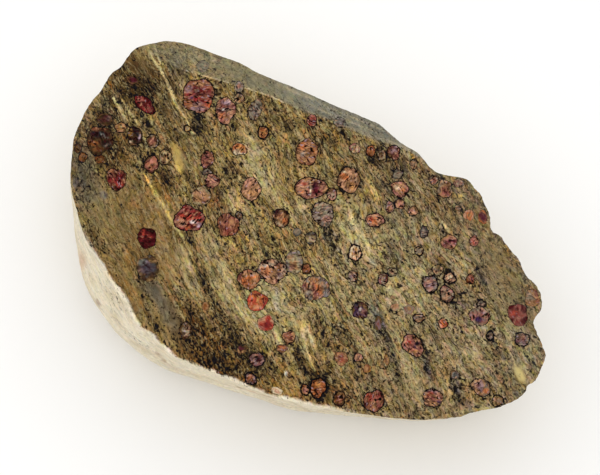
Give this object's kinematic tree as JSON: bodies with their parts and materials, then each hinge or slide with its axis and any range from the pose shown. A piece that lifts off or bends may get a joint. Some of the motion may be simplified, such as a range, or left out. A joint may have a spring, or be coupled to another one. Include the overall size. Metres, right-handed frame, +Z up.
{
  "type": "garnet in matrix",
  "caption": "Rounded garnet crystals set in a sawn and polished cobble of garnet schist, a loose mineral specimen that rests on its flat base.",
  "frame": {"origin": "middle of the bounding box at the level of the flat base", "axes": "+X along the long way of the specimen, +Y towards the edge with the second polished facet, +Z up out of the polished face"},
  "size_m": [0.0972, 0.0836, 0.022],
  "materials": {
    "rock": "polished olive-khaki schist with dark specks, weathered to a pale cream skin",
    "garnet": "polished cracked garnet, red to orange brown, with dark rims"
  },
  "bodies": {
    "root": {"matrix": "rock", "garnet_01": "garnet", "garnet_02": "garnet", "garnet_03": "garnet", "garnet_04": "garnet", "garnet_05": "garnet", "garnet_06": "garnet", "garnet_07": "garnet", "garnet_08": "garnet", "garnet_09": "garnet", "garnet_10": "garnet", "garnet_11": "garnet", "garnet_12": "garnet", "garnet_13": "garnet", "garnet_14": "garnet", "garnet_15": "garnet", "garnet_16": "garnet", "garnet_17": "garnet", "garnet_18": "garnet", "garnet_19": "garnet", "garnet_20": "garnet", "garnet_21": "garnet", "garnet_22": "garnet", "garnet_23": "garnet", "garnet_24": "garnet", "garnet_25": "garnet", "garnet_26": "garnet", "garnet_27": "garnet", "garnet_28": "garnet", "garnet_29": "garnet", "garnet_30": "garnet", "garnet_31": "garnet", "garnet_32": "garnet", "garnet_33": "garnet", "garnet_34": "garnet", "garnet_35": "garnet", "garnet_36": "garnet", "garnet_37": "garnet", "garnet_38": "garnet", "garnet_39": "garnet", "garnet_40": "garnet", "garnet_41": "garnet", "garnet_42": "garnet", "garnet_43": "garnet", "garnet_44": "garnet", "garnet_45": "garnet", "garnet_46": "garnet", "garnet_47": "garnet", "garnet_48": "garnet", "garnet_49": "garnet", "garnet_50": "garnet"}
  },
  "joints": []
}
